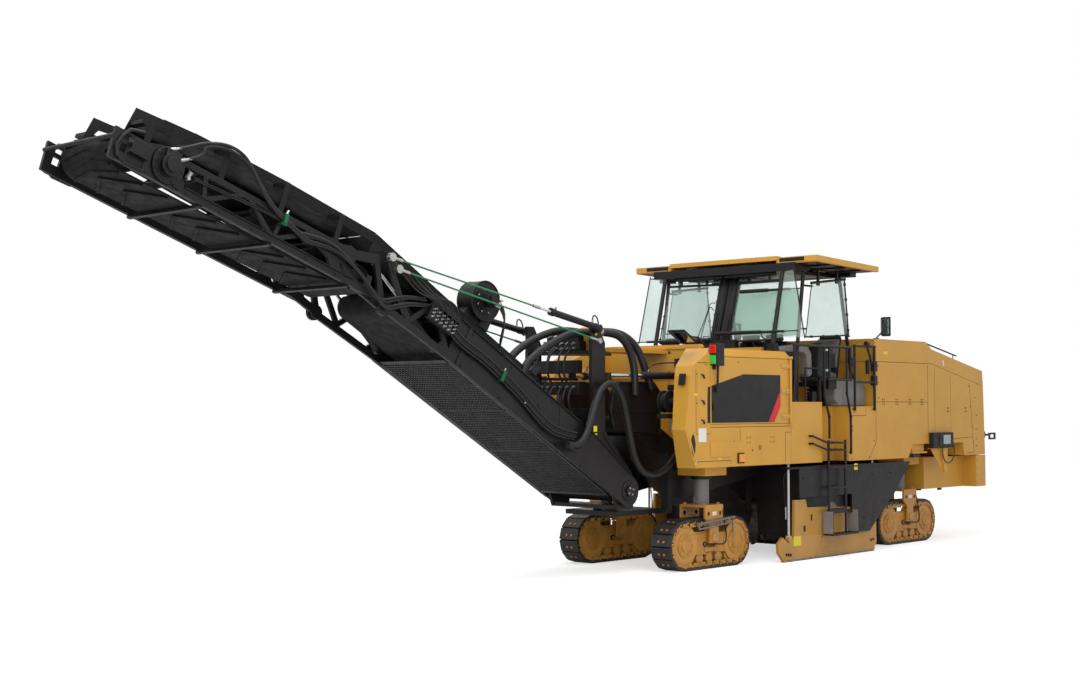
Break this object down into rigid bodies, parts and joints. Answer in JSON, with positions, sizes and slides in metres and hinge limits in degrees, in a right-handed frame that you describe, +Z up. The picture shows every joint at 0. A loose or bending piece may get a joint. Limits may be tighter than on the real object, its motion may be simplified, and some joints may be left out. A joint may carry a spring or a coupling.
{
  "type": "cold planer road milling machine",
  "caption": "Road milling machine: milling drum in a box between four steered tracks, folding front loading conveyor on a swinging mast, roofed operator's platform, lifting engine hood.",
  "frame": {"origin": "centre of the machine's outline on the ground it stands on", "axes": "+X to the rear of the machine, +Y to its right side, +Z up"},
  "size_m": [15.8213, 3.08, 4.8118],
  "materials": {
    "yellow_paint": "gloss machine enamel",
    "black_paint": "satin black enamel",
    "black_rubber": "dull rubber",
    "track_shoe": "hard polyurethane",
    "cut_steel": "worn steel",
    "chrome": "polished rod",
    "screen_glass": "clear tinted",
    "grey_plastic": "moulded grey",
    "black_plastic": "moulded black",
    "engine_metal": "cast"
  },
  "bodies": {
    "chassis": {"main_frame": "black_paint", "cross_members": "black_paint", "leg_sleeves": "yellow_paint", "mast_bracket": "black_paint", "drum_box": "black_paint", "front_body_left": "yellow_paint", "front_body_right": "yellow_paint", "front_bridge": "yellow_paint", "swing_barrels": "black_paint", "primary_conveyor": "black_paint", "belt_primary": "black_rubber", "transfer_skirts": "black_paint", "platform": "yellow_paint", "bulkhead": "yellow_paint", "console": "black_plastic", "seats": "grey_plastic", "rear_body": "yellow_paint", "engine_block": "engine_metal", "rear_box": "yellow_paint", "rear_hooks": "black_paint", "canopy_columns": "black_paint", "canopy_posts": "black_paint", "canopy_frame": "black_paint", "canopy_roof": "yellow_paint", "screens": "screen_glass", "ladders": "black_paint", "handrails": "black_paint"},
    "mast": {"mast": "black_paint"},
    "lower_section": {"conveyor_lower": "black_paint", "lower_guard": "black_paint", "belt_lower": "black_rubber", "cover_lower": "black_paint", "dust_fan": "black_paint"},
    "upper_section": {"conveyor_upper": "black_paint", "belt_upper": "black_rubber", "cover_upper": "black_paint"},
    "lift_barrels": {"lift_barrels": "black_paint"},
    "lift_stays": {"lift_stays": "cut_steel"},
    "fold_barrels": {"fold_barrels": "black_paint"},
    "fold_rods": {"fold_rods": "chrome"},
    "swing_rod_left": {"swing_rod_left": "chrome"},
    "swing_rod_right": {"swing_rod_right": "chrome"},
    "milling_drum": {"milling_drum": "cut_steel"},
    "moldboard": {"moldboard": "black_paint"},
    "side_plate_left": {"side_plate_left": "yellow_paint"},
    "side_plate_right": {"side_plate_right": "yellow_paint"},
    "locker_door_left": {"locker_door_left": "yellow_paint"},
    "locker_door_right": {"locker_door_right": "yellow_paint"},
    "hood": {"hood": "yellow_paint", "mirrors": "black_plastic"},
    "unit_front_left": {"leg_front_left": "yellow_paint", "track_front_left": "track_shoe"},
    "unit_front_right": {"leg_front_right": "yellow_paint", "track_front_right": "track_shoe"},
    "unit_rear_left": {"leg_rear_left": "yellow_paint", "track_rear_left": "track_shoe"},
    "unit_rear_right": {"leg_rear_right": "yellow_paint", "track_rear_right": "track_shoe"}
  },
  "joints": [
    {"name": "mast_swing", "type": "hinge", "parent": "chassis", "child": "mast", "pos_m": [-0.509, 0, 1], "axis": [0, 0, 1], "range_deg": [-60, 60]},
    {"name": "conveyor_luff", "type": "hinge", "parent": "mast", "child": "lower_section", "pos_m": [-0.619, 0, 1.02], "axis": [0, 1, 0], "range_deg": [-15, 5]},
    {"name": "conveyor_fold", "type": "hinge", "parent": "lower_section", "child": "upper_section", "pos_m": [-4.619, 0, 3.09], "axis": [0, -1, 0], "range_deg": [0, 80]},
    {"name": "lift_barrel_tilt", "type": "hinge", "parent": "mast", "child": "lift_barrels", "pos_m": [-1.199, 0, 3], "axis": [0, 1, 0], "range_deg": [-17.9, 6]},
    {"name": "lift_stay_travel", "type": "slide", "parent": "lift_barrels", "child": "lift_stays", "axis": [-0.9834, 0, 0.1815], "range_m": [-0.17, 0.51]},
    {"name": "fold_barrel_tilt", "type": "hinge", "parent": "lower_section", "child": "fold_barrels", "pos_m": [-3.79293, 0, 2.69659], "axis": [0, -1, 0], "range_deg": [0, 28.19]},
    {"name": "fold_rod_travel", "type": "slide", "parent": "fold_barrels", "child": "fold_rods", "axis": [-0.7105, 0, 0.7037], "range_m": [0, 0.1223]},
    {"name": "swing_rod_left_travel", "type": "slide", "parent": "chassis", "child": "swing_rod_left", "axis": [-0.9239, 0.3827, 0], "range_m": [-0.286, 0.286]},
    {"name": "swing_rod_right_travel", "type": "slide", "parent": "chassis", "child": "swing_rod_right", "axis": [-0.9239, -0.3827, 0], "range_m": [-0.286, 0.286]},
    {"name": "drum_spin", "type": "hinge", "parent": "chassis", "child": "milling_drum", "pos_m": [3.141, 0, 0.56], "axis": [0, 1, 0], "continuous": true},
    {"name": "moldboard_lift", "type": "slide", "parent": "chassis", "child": "moldboard", "axis": [0, 0, 1], "range_m": [0, 0.3]},
    {"name": "side_plate_left_lift", "type": "slide", "parent": "chassis", "child": "side_plate_left", "axis": [0, 0, 1], "range_m": [0, 0.4]},
    {"name": "side_plate_right_lift", "type": "slide", "parent": "chassis", "child": "side_plate_right", "axis": [0, 0, 1], "range_m": [0, 0.4]},
    {"name": "steer_front_left", "type": "hinge", "parent": "chassis", "child": "unit_front_left", "pos_m": [0.651, -0.76, 0.32], "axis": [0, 0, 1], "range_deg": [-25, 25]},
    {"name": "steer_front_right", "type": "hinge", "parent": "chassis", "child": "unit_front_right", "pos_m": [0.651, 0.76, 0.32], "axis": [0, 0, 1], "range_deg": [-25, 25]},
    {"name": "steer_rear_left", "type": "hinge", "parent": "chassis", "child": "unit_rear_left", "pos_m": [5.651, -0.76, 0.32], "axis": [0, 0, 1], "range_deg": [-25, 25]},
    {"name": "steer_rear_right", "type": "hinge", "parent": "chassis", "child": "unit_rear_right", "pos_m": [5.651, 0.76, 0.32], "axis": [0, 0, 1], "range_deg": [-25, 25]},
    {"name": "locker_door_left_hinge", "type": "hinge", "parent": "chassis", "child": "locker_door_left", "pos_m": [1.953, -1.272, 2.26], "axis": [0, 0, 1], "range_deg": [0, 110]},
    {"name": "locker_door_right_hinge", "type": "hinge", "parent": "chassis", "child": "locker_door_right", "pos_m": [1.953, 1.272, 2.26], "axis": [0, 0, -1], "range_deg": [0, 110]},
    {"name": "hood_lift", "type": "hinge", "parent": "chassis", "child": "hood", "pos_m": [4.122, 0, 3.05], "axis": [0, -1, 0], "range_deg": [0, 40]}
  ],
  "couplings": [
    {"joint": "lift_barrel_tilt", "follows": "conveyor_luff", "ratio": 1.19},
    {"joint": "lift_stay_travel", "follows": "conveyor_luff", "m_per_rad": -1.93},
    {"joint": "fold_barrel_tilt", "follows": "conveyor_fold", "ratio": 0.3486},
    {"joint": "fold_rod_travel", "follows": "conveyor_fold", "m_per_rad": 0.08688},
    {"joint": "swing_rod_left_travel", "follows": "mast_swing", "m_per_rad": -0.2725},
    {"joint": "swing_rod_right_travel", "follows": "mast_swing", "m_per_rad": 0.2725},
    {"joint": "steer_front_right", "follows": "steer_front_left", "ratio": 1},
    {"joint": "steer_rear_right", "follows": "steer_rear_left", "ratio": 1}
  ]
}
